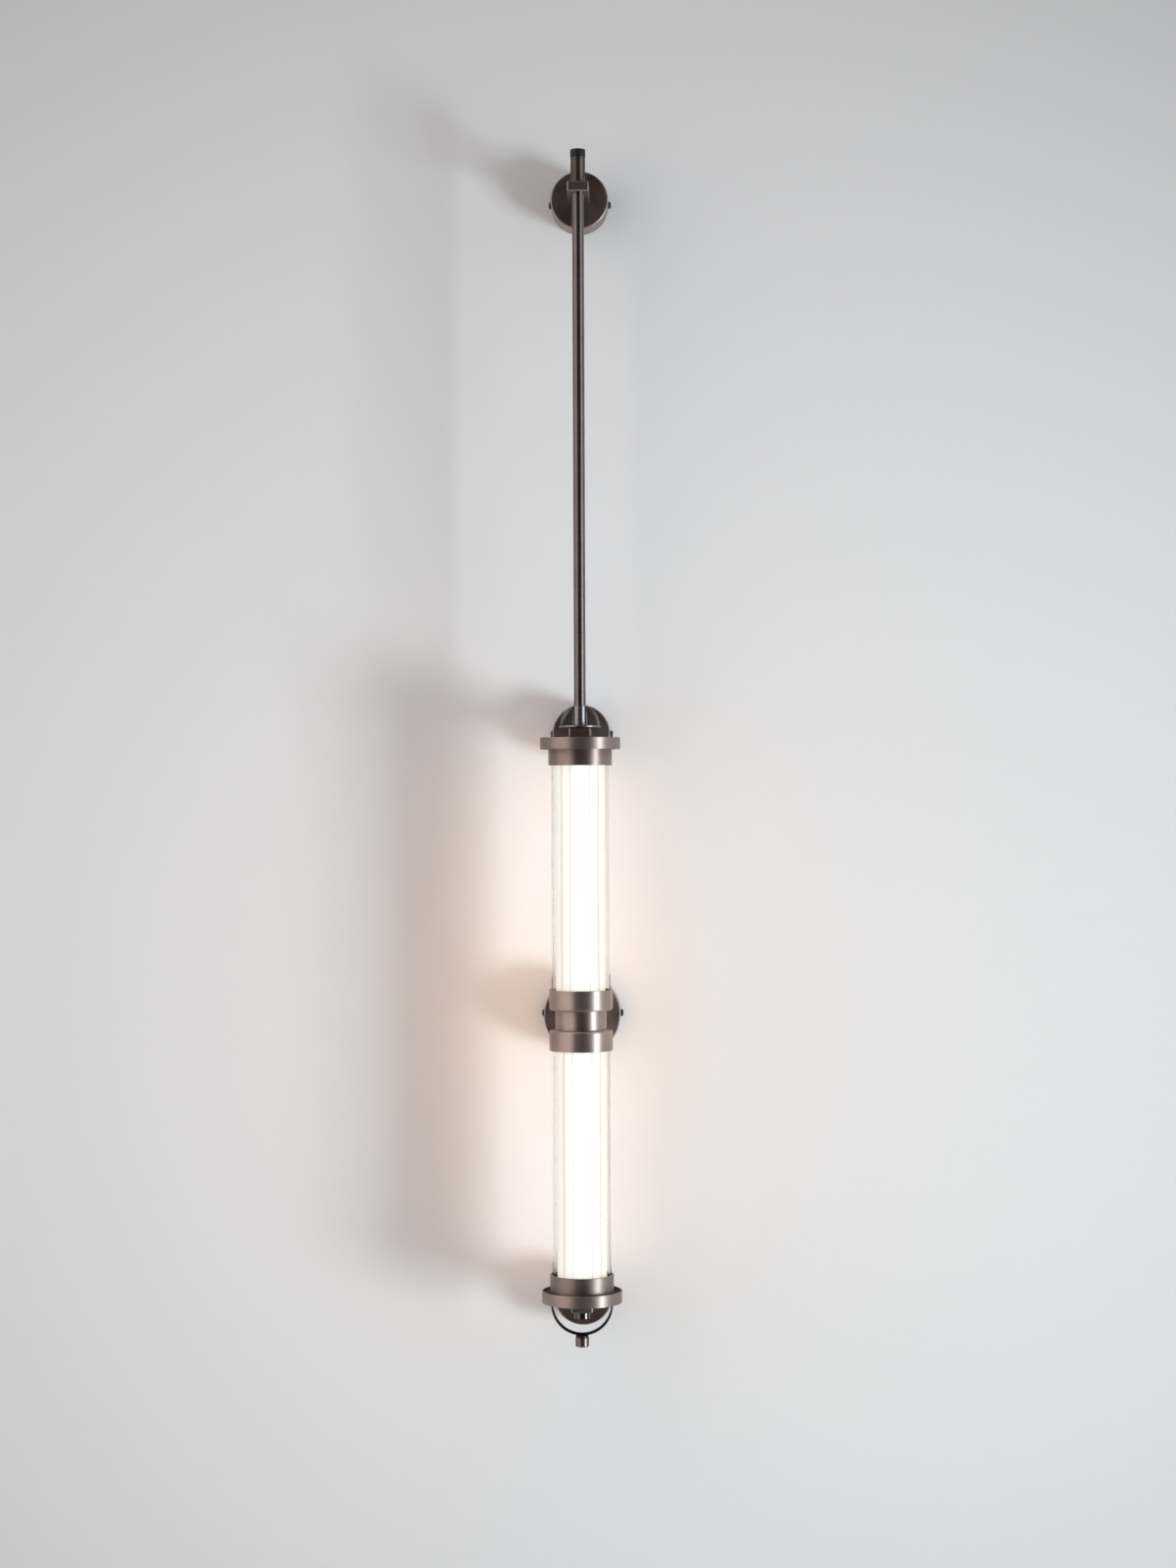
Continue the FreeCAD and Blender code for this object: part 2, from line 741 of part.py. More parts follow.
def middle_nodes():
    """The large middle rose, what is in it and the pieces around the sleeve."""
    return {
        "middle_wall_bracket": make_middle_bracket(),
        "middle_rose": make_rose(middle_rose_radius, 0, nipple_radius + screw_fit, (0,)),
        "middle_rose_screws": make_rose_screws(middle_rose_radius, 0),
        "middle_arm": make_middle_arm(),
        "middle_nipple": make_nipple(),
        "middle_nipple_nuts": make_nipple_nuts(),
        "middle_sleeve": make_sleeve(),
        "driver": make_driver(),
        "terminal_block": make_terminal_block(),
    }


def tube_nodes():
    """The cups, tubes, seals and light sources of the upper and the lower half."""
    makers = {
        "band": make_band,
        "collar": make_collar,
        "ring": make_ring,
        "diffuser": make_diffuser,
        "gaskets": make_gaskets,
        "led_core": make_core,
        "led_strips": make_strips,
    }
    nodes = {}
    for name, make in makers.items():
        piece = make()
        nodes["upper_" + name] = piece
        nodes["lower_" + name] = mirrored(piece)
    nodes["upper_glass"] = make_glass()
    nodes["lower_glass"] = make_lower_glass()
    lead_end = sleeve_top + band_floor + strip_end_gap + lead_on_strip
    nodes["upper_lead"] = make_lead(lead_offset, lead_end)
    nodes["lower_lead"] = make_lead(-lead_offset, -lead_end)
    return nodes


def stem_nodes():
    """What stands on the upper arm, up to the cap at the very top."""
    return {
        "arch_plate": make_arch_plate(),
        "arch_ribs": make_arch_ribs(),
        "stem_coupler": make_coupler(),
        "stem": make_stem(),
        "top_arm": make_top_arm(),
        "top_grub_screw": make_grub_screw(),
        "top_sleeve": make_top_sleeve(),
        "top_end_cap": make_end_cap(),
    }


def hoop_nodes():
    """What hangs under the lower ring."""
    return {
        "hoop_lugs": make_hoop_lugs(),
        "hoop_pins": make_hoop_pins(),
        "hoop": make_hoop(),
        "finial_washer": make_finial_washer(),
        "finial": make_finial(),
    }


def all_nodes():
    nodes = {}
    nodes.update(rose_nodes("top", top_arm_height))
    nodes.update(rose_nodes("upper", end_arm_height))
    nodes.update(rose_nodes("lower", -end_arm_height))
    nodes.update(middle_nodes())
    nodes.update(tube_nodes())
    nodes.update(stem_nodes())
    nodes.update(hoop_nodes())
    nodes["upper_arm"] = make_arm(end_arm_height, tie_rod_hole_radius)
    nodes["lower_arm"] = make_arm(-end_arm_height, tie_rod_hole_radius)
    nodes["tie_rod"] = make_tie_rod()
    nodes["lower_nut"] = make_lower_nut()
    return nodes


os.makedirs("parts", exist_ok=True)
for node_name, shape in all_nodes().items():
    shape.exportStep("parts/" + node_name + ".step")
    print(node_name, len(shape.Solids), shape.isValid(), round(shape.Volume, 1))
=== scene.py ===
import math

import bmesh
import bpy
from mathutils import Matrix, Vector


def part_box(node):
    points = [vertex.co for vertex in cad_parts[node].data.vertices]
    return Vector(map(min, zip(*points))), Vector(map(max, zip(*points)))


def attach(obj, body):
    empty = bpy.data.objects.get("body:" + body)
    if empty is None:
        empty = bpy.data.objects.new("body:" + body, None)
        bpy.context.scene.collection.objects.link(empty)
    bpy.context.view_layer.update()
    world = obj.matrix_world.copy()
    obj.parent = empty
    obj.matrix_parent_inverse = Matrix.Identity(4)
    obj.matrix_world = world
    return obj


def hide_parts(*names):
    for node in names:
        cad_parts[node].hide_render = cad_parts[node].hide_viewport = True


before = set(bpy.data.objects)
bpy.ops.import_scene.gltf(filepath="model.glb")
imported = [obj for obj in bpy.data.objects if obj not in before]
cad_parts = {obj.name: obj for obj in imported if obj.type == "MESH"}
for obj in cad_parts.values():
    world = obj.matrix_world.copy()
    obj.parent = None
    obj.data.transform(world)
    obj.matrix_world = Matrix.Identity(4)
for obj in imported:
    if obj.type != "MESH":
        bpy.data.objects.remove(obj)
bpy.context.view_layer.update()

# Metres, in the frame's axes: +Z up, +Y into the wall, -Y towards the room
MM = 0.001
RIGHT = Vector((1, 0, 0))
ROOM = Vector((0, -1, 0))
UP = Vector((0, 0, 1))

# Camera, as the photograph was taken
camera_place = Vector((0.063, -3.098, 0.2405))
camera_tilt = math.radians(90)           # up from straight down
camera_turn = math.radians(1.05)         # to the left of straight at the wall
camera_roll = math.radians(-0.22)
camera_lens = 67.5                       # mm
camera_sensor = 36.0                     # mm, along the long side of the picture

# Wall thicknesses and holes of the dressed pieces
ring_wall = 1.5 * MM
ring_floor = 2.0 * MM
cup_wall = 2.0 * MM
collar_floor = 2.0 * MM
band_floor = 3.0 * MM
sleeve_wall = 3.0 * MM
diffuser_wall = 2.0 * MM
stem_wall = 1.5 * MM
rose_wall = 1.5 * MM
rose_face = 2.5 * MM
top_sleeve_wall = 1.4 * MM
arch_thickness = 3.0 * MM
hoop_thickness = 2.0 * MM
rod_hole_radius = 4.05 * MM
stud_hole_radius = 1.55 * MM
inner_wall_share = 0.6                   # of a cup's wall: its inner faces, which get painted shade, lie deeper than this
inner_floor_share = 0.5                  # of a cup's floor: and further from its outside than this

# Edges
soft_edge = 0.45 * MM                    # rounding of turned rims
fine_edge = 0.25 * MM                    # rounding of small pieces
play = fine_edge / 4                     # between the stem or the finial's stud and its hole
cap_edge = 0.9 * MM
plate_edge = 0.8 * MM                    # rounding under the arch's plate
band_rounding = 3.0 * MM
finial_edge = 1.4 * MM
rose_edge = 0.2 * MM
bar_bevel = 0.9 * MM                     # along the edges of the arms
nose_bevel = 1.2 * MM                    # on the two corners of an arm's nose
rib_bevel = 0.8 * MM                     # along the edges of the arch
rose_bevel = 1.0 * MM

# Arch and hoop
rib_foot = 2.0 * MM                      # straight foot of the arch
hoop_growth = 0.6 * MM                   # how much thicker the hoop is at its lowest point
hoop_even_share = 0.2                    # share of its height, from the pins down, that isn't thicker
hoop_tip_share = 0.01                    # squared share of its depth that is left at the tip of an end

# Reeded glass
rib_count = 18
rib_depth = 0.7 * MM
rib_breadth = 4                          # power of a cosine: the higher, the broader the ribs
glass_radius = 30.0 * MM                 # to the crest of a rib
glass_bore = 28.2 * MM
glass_edge = 0.3 * MM
lower_glass_turn = math.radians(3.0)

# Fineness of the meshes
turn_steps = 144                         # around a turned piece
corner_steps = 4                         # around a rounded corner
steps_per_rib = 20
arch_steps = 48
hoop_steps = 160
point_reach = MM / 1000                  # points nearer than this to each other are one
least_lean = 0.001                       # cosine below which a side doesn't face a direction
flat_face_weight = 100


# Meshes

def new_object(name, mesh_data, material, smooth=True):
    """Object of a mesh, with one material and smooth shading."""
    piece = bpy.data.objects.new(name, mesh_data)
    bpy.context.scene.collection.objects.link(piece)
    mesh_data.materials.append(material)
    if smooth:
        mesh_data.polygons.foreach_set("use_smooth", [True] * len(mesh_data.polygons))
        normals = piece.modifiers.new("flat_faces_stay_flat", "WEIGHTED_NORMAL")
        normals.weight = flat_face_weight
        normals.keep_sharp = True
    return piece


def dress(piece, node, body):
    """The piece rides on a body and stands for a node."""
    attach(piece, body)
    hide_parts(node)
    return piece


def join_rings(shape, rings, closed=True):
    """Faces from each ring of points to the next, and from the last to the first if closed."""
    following = rings[1:] + rings[:1] if closed else rings[1:]
    for here, there in zip(rings, following):
        for index in range(len(here)):
            after = (index + 1) % len(here)
            shape.faces.new((here[index], here[after], there[after], there[index]))


def finished_mesh(shape, name):
    """Mesh of a shape, with its faces turned outwards."""
    bmesh.ops.recalc_face_normals(shape, faces=shape.faces)
    data = bpy.data.meshes.new(name)
    shape.to_mesh(data)
    shape.free()
    return data


def merge_axis_points(piece):
    """Merges the points that lie on the axis and drops the faces that have no area."""
    shape = bmesh.new()
    shape.from_mesh(piece.data)
    bmesh.ops.remove_doubles(shape, verts=shape.verts, dist=point_reach)
    bmesh.ops.dissolve_degenerate(shape, edges=shape.edges, dist=point_reach)
    shape.to_mesh(piece.data)
    shape.free()


def softened(outline, edges):
    """Closed outline with each corner rounded; edges holds one radius, or one for each corner."""
    count = len(outline)
    radii = edges if isinstance(edges, (list, tuple)) else [edges] * count
    points = []
    for index in range(count):
        here = Vector(outline[index])
        before = Vector(outline[index - 1]) - here
        after = Vector(outline[(index + 1) % count]) - here
        half_turn = before.angle(after) / 2
        reach = min(radii[index] / math.tan(half_turn), before.length / 2, after.length / 2)
        radius = reach * math.tan(half_turn)
        if radius < point_reach:
            points.append(here)
            continue
        middle = (before.normalized() + after.normalized()).normalized()
        centre = here + middle * (radius / math.sin(half_turn))
        first = (here + before.normalized() * reach - centre).normalized()
        last = (here + after.normalized() * reach - centre).normalized()
        for step in range(corner_steps + 1):
            points.append(centre + first.slerp(last, step / corner_steps) * radius)
    return points


def turned(name, outline, edges, material, centre, axis=UP):
    """Closed outline of (radius, distance along the axis) turned about the axis."""
    points = softened(outline, edges)
    other = axis.cross(RIGHT)
    shape = bmesh.new()
    rings = []
    for step in range(turn_steps):
        angle = 2 * math.pi * step / turn_steps
        out = RIGHT * math.cos(angle) + other * math.sin(angle)
        rings.append([shape.verts.new(centre + out * point[0] + axis * point[1]) for point in points])
    join_rings(shape, rings)
    return new_object(name, finished_mesh(shape, name), material)


def swept(name, section, path, sides, material):
    """Closed section swept along points, each with its own two side directions."""
    shape = bmesh.new()
    rings = []
    for place, (across, other) in zip(path, sides):
        rings.append([shape.verts.new(place + across * u + other * v) for u, v in section])
    join_rings(shape, rings, closed=False)
    shape.faces.new(rings[0])
    shape.faces.new(rings[-1])
    return new_object(name, finished_mesh(shape, name), material)


def node_sizes(node):
    """(radius, low height, high height, point on the axis) of an upright round node."""
    low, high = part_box(node)
    centre = Vector(((low[0] + high[0]) / 2, (low[1] + high[1]) / 2, 0))
    return (high[0] - low[0]) / 2, low[2], high[2], centre


LAMP_AXIS = node_sizes("tie_rod")[3]

# Brushed metal
fine_brush = 2600.0                      # noise cells in a metre across the brush lines
coarse_brush = 1600.0
zinc_brush = 1200.0
aluminium_brush = 1800.0
brush_stretch = 0.02                     # how much fewer cells lie along the lines
brush_detail = 3.0
brush_noise_roughness = 0.6
brush_bump = 0.05
brush_depth = 0.1 * MM
brush_turn = 0.25                        # of a turn, from the tangent to the brush lines
usual_anisotropy = 0.7
patina_cells = 38.0
patina_detail = 4.0
patina_noise_roughness = 0.55
patina_start = 0.35                      # noise level at which the patina is all dark
patina_stop = 0.68                       # and all light
streak_start = 0.3
streak_stop = 0.7
streak_dark_share = 0.93
streak_light_share = 1.05
gloss_start = 0.25                       # noise levels of the smoothest and the roughest lines
gloss_stop = 0.75
smooth_share = 0.9                       # least and most roughness, as shares of a material's own
rough_share = 1.15

# Paint, plastic, rubber and plaster
grain_detail = 2.0
grain_depth = 0.05 * MM
black_grain = 900.0
black_tone_shares = (0.7, 1.3)           # darkest and lightest tone of the grain
black_bump = 0.1
black_gloss = 0.25
plastic_grain = 600.0
plastic_tone_shares = (0.92, 1.04)
plastic_bump = 0.15
plaster_grain = 90.0
plaster_detail = 5.0
plaster_bump = 0.12
plaster_depth = 1.0 * MM
plaster_roughness = 0.9
plaster_gloss = 0.2

# Glass and light tubes
rib_tone = (0.99, 0.99, 0.985)
# painted shade of the dark lines that the valleys between the ribs show
painted_valley_shade = (0.48, 0.43, 0.37)
valley_sharpness = 13
glass_bending = 1.07
tube_middle = 148.5 * MM                 # from the lamp's middle to a light tube's middle
opal_end_start = 95.0 * MM
opal_end_stop = 134.0 * MM
opal_glow = (0.92, 0.94, 1.0)
opal_end_glow = (0.92, 0.905, 0.86)
opal_paint = (0.6, 0.59, 0.56, 1)
opal_roughness = 0.4
opal_lacquer = (0.86, 0.84, 0.79, 1)
opal_under_lacquer = 0.97                # strength of the light before it passes the lacquer
lacquer_roughness = 0.15
lacquer_bending = 1.1


# Materials

class Nodes:
    """A node tree, with short calls that add a node and join it."""

    def __init__(self, tree):
        self.tree = tree

    def feed(self, socket, value):
        """Joins an input to another node's output, or sets its value."""
        if isinstance(value, bpy.types.NodeSocket):
            self.tree.links.new(value, socket)
        else:
            socket.default_value = value

    def add(self, kind, values=(), **settings):
        made = self.tree.nodes.new(kind)
        for key, value in settings.items():
            setattr(made, key, value)
        for key, value in dict(values).items():
            self.feed(made.inputs[key], value)
        return made

    def compute(self, operation, *values, **settings):
        """Result of a calculation with numbers."""
        return self.add("ShaderNodeMath", enumerate(values), operation=operation, **settings).outputs[0]

    def combine(self, operation, *values):
        """Result of a calculation with directions: a direction, or a number for DOT_PRODUCT."""
        made = self.add("ShaderNodeVectorMath", enumerate(values), operation=operation)
        return made.outputs["Value" if operation == "DOT_PRODUCT" else "Vector"]

    def remap(self, value, start=0.0, stop=1.0, low=0.0, high=1.0, **settings):
        """The value, moved so that start to stop becomes low to high."""
        limits = {"Value": value, "From Min": start, "From Max": stop, "To Min": low, "To Max": high}
        return self.add("ShaderNodeMapRange", limits, **settings).outputs[0]

    def blend(self, factor, low, high, **settings):
        """Colour between two others, each an output or three numbers."""
        made = self.add("ShaderNodeMix", {"Factor": factor}, data_type="RGBA", **settings)
        for key, value in (("A", low), ("B", high)):
            self.feed(made.inputs[key], (*value, 1) if isinstance(value, tuple) else value)
        return made.outputs["Result"]

    def noise(self, place, detail, roughness=0.5, cells=1.0):
        values = {"Vector": place, "Scale": cells, "Detail": detail, "Roughness": roughness}
        return self.add("ShaderNodeTexNoise", values).outputs["Fac"]

    def split(self, place):
        """The three parts of a place, by the names X, Y and Z."""
        return self.add("ShaderNodeSeparateXYZ", {"Vector": place}).outputs

    def relief(self, height, strength, depth):
        values = {"Height": height, "Strength": strength, "Distance": depth}
        return self.add("ShaderNodeBump", values).outputs[0]


class Shader(Nodes):
    """A material's node tree."""

    def __init__(self, name):
        self.material = bpy.data.materials.new(name)
        self.material.use_nodes = True
        super().__init__(self.material.node_tree)
        self.surface = self.tree.nodes["Principled BSDF"]
        self.place = self.add("ShaderNodeTexCoord").outputs["Object"]

    def set(self, **values):
        for key, value in values.items():
            self.feed(self.surface.inputs[key.replace("_", " ")], value)


def brushed_metal(name, colour, dark_colour, roughness, cells=fine_brush, anisotropy=usual_anisotropy,
                  axis="Z"):
    """Metal with fine brush lines and a faint patina. cells says how many noise cells lie in a metre
    across the lines, and axis is the one that the piece was turned about."""
    shader = Shader(name)
    along = cells * brush_stretch
    scales = {"Z": (along, along, cells), "Y": (along, cells, along), "X": (cells, along, along)}[axis]
    lines_place = shader.add("ShaderNodeMapping", {"Vector": shader.place, "Scale": scales}).outputs[0]
    lines = shader.noise(lines_place, brush_detail, brush_noise_roughness)
    patina = shader.noise(shader.place, patina_detail, patina_noise_roughness, patina_cells)
    worn = shader.remap(patina, patina_start, patina_stop)
    streaks = shader.remap(lines, streak_start, streak_stop, streak_dark_share, streak_light_share)
    streaked = shader.blend(1.0, shader.blend(worn, dark_colour, colour), streaks, blend_type="MULTIPLY")
    rough = shader.remap(lines, gloss_start, gloss_stop, roughness * smooth_share, roughness * rough_share)
    tangent = shader.add("ShaderNodeTangent", direction_type="RADIAL", axis=axis).outputs[0]
    shader.set(Base_Color=streaked, Metallic=1.0, Roughness=rough,
               Normal=shader.relief(lines, brush_bump, brush_depth),
               Anisotropic=anisotropy, Anisotropic_Rotation=brush_turn, Tangent=tangent)
    return shader.material


def grained(name, colour, cells, tone_shares, bump):
    """Shader with a fine grain in its tone and surface, and the noise that makes the grain."""
    shader = Shader(name)
    noise = shader.noise(shader.place, grain_detail, cells=cells)
    darkest, lightest = (tuple(min(1.0, part * share) for part in colour) for share in tone_shares)
    shader.set(Base_Color=shader.blend(noise, darkest, lightest),
               Normal=shader.relief(noise, bump, grain_depth))
    return shader, noise


def satin_black(name, colour, roughness):
    """Black paint or plastic with a faint grain."""
    shader, noise = grained(name, colour, black_grain, black_tone_shares, black_bump)
    rough = shader.remap(noise, low=roughness * smooth_share, high=roughness * rough_share)
    shader.set(Roughness=rough, Specular_IOR_Level=black_gloss)
    return shader.material


def plain_plastic(name, colour, roughness):
    """Moulded plastic or rubber with a fine grain."""
    shader, noise = grained(name, colour, plastic_grain, plastic_tone_shares, plastic_bump)
    shader.set(Roughness=roughness)
    return shader.material


def reeded_glass(name, turn):
    """Clear glass with painted shade in the valleys between its ribs, darker and warmer there, most of all
    halfway between the front and the sides."""
    shader = Shader(name)
    parts = shader.split(shader.place)
    front = shader.compute("SUBTRACT", LAMP_AXIS.y, parts["Y"])
    angle = shader.compute("ARCTAN2", parts["X"], front)
    wave = shader.compute("MULTIPLY_ADD", angle, rib_count / 2, -turn * rib_count / 2)
    size = shader.compute("ABSOLUTE", shader.compute("COSINE", wave))
    valley = shader.compute("POWER", size, valley_sharpness)
    swing = shader.compute("SINE", shader.compute("ADD", angle, angle))
    slant = shader.compute("MULTIPLY", swing, shader.compute("COSINE", angle))
    depth = shader.compute("MULTIPLY", slant, slant)
    # painted shade: strongest in the valleys, most of all halfway between the front and the sides
    share = shader.compute("MULTIPLY", valley, depth)
    shader.set(Base_Color=shader.blend(share, rib_tone, painted_valley_shade), Roughness=0.0, IOR=glass_bending,
               Transmission_Weight=1.0)
    return shader.material


def nearness_to_end(shader, start, stop):
    """0 in the middle of a light tube, 1 at its ends; start and stop are distances from its middle."""
    height = shader.compute("ABSOLUTE", shader.split(shader.place)["Z"])
    offset = shader.compute("SUBTRACT", height, tube_middle)
    reach = shader.compute("ABSOLUTE", offset)
    return shader.remap(reach, start, stop, interpolation_type="SMOOTHSTEP")


def glowing_opal(name):
    """Opal tube lit from inside: clear lacquer over it dims the light that leaves at a low angle,
    and its ends are a little warmer."""
    shader = Shader(name)
    end = nearness_to_end(shader, opal_end_start, opal_end_stop)
    shader.set(Base_Color=opal_paint, Roughness=opal_roughness, Emission_Strength=opal_under_lacquer,
               Emission_Color=shader.blend(end, opal_glow, opal_end_glow), Coat_Weight=1.0,
               Coat_Roughness=lacquer_roughness, Coat_IOR=lacquer_bending, Coat_Tint=opal_lacquer)
    return shader.material


bronze = brushed_metal("bronze", (0.44, 0.355, 0.315), (0.39, 0.305, 0.27), roughness=0.465,
                       anisotropy=0.845)
ring_bronze = brushed_metal("ring_bronze", (0.44, 0.355, 0.315), (0.38, 0.30, 0.265), roughness=0.52,
                            anisotropy=0.94)
# darker copy of the collar bronze: painted shade on the lower collar
painted_shade_collar_bronze = brushed_metal("painted_shade_collar_bronze", (0.30, 0.245, 0.212), (0.26, 0.205, 0.178),
                              roughness=0.50, anisotropy=0.62)
stem_bronze = brushed_metal("stem_bronze", (0.17, 0.146, 0.139), (0.142, 0.121, 0.115),
                            roughness=0.34, anisotropy=0.55)
# dark bronze of the top sleeve, and painted shade on the inside of the cups
dark_bronze = brushed_metal("dark_bronze", (0.105, 0.088, 0.078), (0.086, 0.071, 0.063), roughness=0.47)
finial_bronze = brushed_metal("finial_bronze", (0.18, 0.147, 0.14), (0.155, 0.125, 0.118),
                              roughness=0.38)
rose_bronze = brushed_metal("rose_bronze", (0.33, 0.27, 0.25), (0.275, 0.22, 0.205), roughness=0.33,
                            anisotropy=0.4, axis="Y")
bar_bronze = brushed_metal("bar_bronze", (0.30, 0.245, 0.215), (0.25, 0.20, 0.175), roughness=0.34,
                           cells=coarse_brush, anisotropy=0.4, axis="X")
gunmetal = brushed_metal("gunmetal", (0.27, 0.265, 0.26), (0.23, 0.22, 0.215), roughness=0.40)
dark_gunmetal = brushed_metal("dark_gunmetal", (0.12, 0.112, 0.106), (0.095, 0.088, 0.083),
                              roughness=0.28)
hoop_metal = brushed_metal("hoop_metal", (0.11, 0.098, 0.092), (0.085, 0.075, 0.07), roughness=0.34,
                           cells=coarse_brush, anisotropy=0.4, axis="Y")
zinc = brushed_metal("zinc", (0.62, 0.63, 0.65), (0.54, 0.55, 0.56), roughness=0.38,
                     cells=zinc_brush, anisotropy=0.3, axis="Y")
aluminium = brushed_metal("aluminium", (0.80, 0.81, 0.82), (0.72, 0.73, 0.74), roughness=0.3,
                          cells=aluminium_brush, anisotropy=0.4, axis="X")
black_paint = satin_black("black_paint", (0.016, 0.016, 0.018), roughness=0.32)
black_plastic = satin_black("black_plastic", (0.012, 0.012, 0.013), roughness=0.42)
upper_glass = reeded_glass("upper_glass", turn=0)
lower_glass = reeded_glass("lower_glass", turn=lower_glass_turn)
opal = glowing_opal("opal")
board = plain_plastic("board", (0.86, 0.84, 0.78), roughness=0.5)
seal = plain_plastic("seal", (0.78, 0.75, 0.70), roughness=0.55)
wire = plain_plastic("wire", (0.80, 0.80, 0.78), roughness=0.45)
case = plain_plastic("case", (0.84, 0.84, 0.82), roughness=0.5)
block = plain_plastic("block", (0.70, 0.70, 0.68), roughness=0.5)


# Turned pieces on the lamp axis

def cup(node, floor, wall, edges, floor_up, material):
    """Round cup in place of a node, with painted shade on its inside; floor_up says that its floor is at
    the top.
    """
    radius, low, high, centre = node_sizes(node)
    base, rim, step = (high, low, -floor) if floor_up else (low, high, floor)
    outline = [(rod_hole_radius, base), (radius, base), (radius, rim), (radius - wall, rim),
               (radius - wall, base + step), (rod_hole_radius, base + step)]
    piece = turned("dressed_" + node, outline, edges, material, centre)
    # painted shade: the inner wall and the inner face of the floor get the darker material, for the shade
    # in the hollow
    piece.data.materials.append(dark_bronze)
    for face in piece.data.polygons:
        away = face.center - centre
        inside_wall = math.hypot(away.x, away.y) < radius - wall * inner_wall_share
        if inside_wall and abs(face.center.z - base) > floor * inner_floor_share:
            face.material_index = 1
    return dress(piece, node, "lamp")


def make_cups():
    rim_edges = [0, soft_edge, soft_edge, soft_edge, 0, 0]
    band_edges = [0, band_rounding, soft_edge, soft_edge, 0, 0]
    # the lower collar gets the darker copy of the bronze as painted shade; the upper one gets the plain
    # bronze
    collars = {"upper": ring_bronze, "lower": painted_shade_collar_bronze}
    for half, floor_up in (("upper", True), ("lower", False)):
        cup(half + "_ring", ring_floor, ring_wall, rim_edges, floor_up, ring_bronze)
        cup(half + "_collar", collar_floor, cup_wall, rim_edges, floor_up, collars[half])
        cup(half + "_band", band_floor, cup_wall, band_edges, not floor_up, bronze)


def washer(node, hole, edges, material, body):
    radius, low, high, centre = node_sizes(node)
    outline = [(hole, low), (radius, low), (radius, high), (hole, high)]
    piece = turned("dressed_" + node, outline, edges, material, centre)
    return dress(piece, node, body)


def tube(node, wall, edges, material, body):
    return washer(node, node_sizes(node)[0] - wall, edges, material, body)


def make_tubes():
    tube("middle_sleeve", sleeve_wall, soft_edge, bronze, "lamp")
    tube("stem", stem_wall, fine_edge, stem_bronze, "lamp")
    tube("top_sleeve", top_sleeve_wall, fine_edge, dark_bronze, "top_fixing")
    for half in ("upper", "lower"):
        opal_tube = tube(half + "_diffuser", diffuser_wall, fine_edge, opal, "lamp")
        opal_tube.visible_diffuse = False


def make_small_turned():
    plate_edges = [0, plate_edge, fine_edge, 0]
    washer("arch_plate", rod_hole_radius, plate_edges, gunmetal, "lamp")
    washer("stem_coupler", rod_hole_radius, soft_edge, gunmetal, "lamp")
    washer("lower_nut", fine_edge, soft_edge, dark_gunmetal, "lamp")
    washer("finial_washer", stud_hole_radius, fine_edge, black_paint, "hoop")
    make_end_cap()
    make_finial()


def make_end_cap():
    """Cap with a plug in the top sleeve."""
    radius, low, high, centre = node_sizes("top_end_cap")
    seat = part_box("top_sleeve")[1][2]
    plug = radius - top_sleeve_wall
    outline = [(fine_edge, low), (plug, low), (plug, seat), (radius, seat), (radius, high),
               (fine_edge, high)]
    edges = [0, fine_edge, 0, fine_edge, cap_edge, 0]
    piece = turned("dressed_top_end_cap", outline, edges, black_plastic, centre)
    dress(piece, "top_end_cap", "top_fixing")


def make_finial():
    """Round knob with a stud that goes up into the hoop."""
    radius, low, high, centre = node_sizes("finial")
    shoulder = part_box("finial_washer")[0][2]
    stud = stud_hole_radius - play
    outline = [(0, low), (radius, low), (radius, shoulder), (stud, shoulder), (stud, high), (0, high)]
    edges = [0, finial_edge, soft_edge, 0, fine_edge, 0]
    piece = turned("dressed_finial", outline, edges, finial_bronze, centre)
    merge_axis_points(piece)
    dress(piece, "finial", "finial")


# Roses

def make_roses():
    for name, body in (("top", "top_fixing"), ("upper", "lamp"), ("middle", "lamp"), ("lower", "lamp")):
        node = name + "_rose"
        low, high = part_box(node)
        radius = (high[0] - low[0]) / 2
        centre = Vector((0, high[1], (low[2] + high[2]) / 2))
        depth = high[1] - low[1]
        outline = [(0, depth), (radius - rose_bevel, depth), (radius, depth - rose_bevel), (radius, 0),
                   (radius - rose_wall, 0), (radius - rose_wall, depth - rose_face),
                   (0, depth - rose_face)]
        edges = [0, rose_edge, rose_edge, fine_edge, fine_edge, 0, 0]
        piece = turned("dressed_" + node, outline, edges, rose_bronze, centre, ROOM)
        merge_axis_points(piece)
        dress(piece, node, body)


# Arms

def arm_sides(left, right, nose, back):
    """Outward direction, place and bevel of each side of an arm, seen from above."""
    slant = math.sqrt(1 / 2)
    cut = nose + nose_bevel
    right_corner = (RIGHT + ROOM) * slant
    left_corner = (ROOM - RIGHT) * slant
    return [(RIGHT, right, bar_bevel), (-RIGHT, -left, bar_bevel), (ROOM, -nose, bar_bevel),
            (-ROOM, back, 0), (right_corner, (right - cut) * slant, bar_bevel),
            (left_corner, (-left - cut) * slant, bar_bevel)]


def reach_of(sides, out, centre, bevelled):
    """How far the arm reaches from the centre in a direction, at a bevelled edge or between the edges."""
    reaches = []
    for facing, place, bevel in sides:
        lean = facing.dot(out)
        if lean > least_lean:
            reaches.append((place - bevel * bevelled - facing.dot(centre)) / lean)
    return min(reaches)


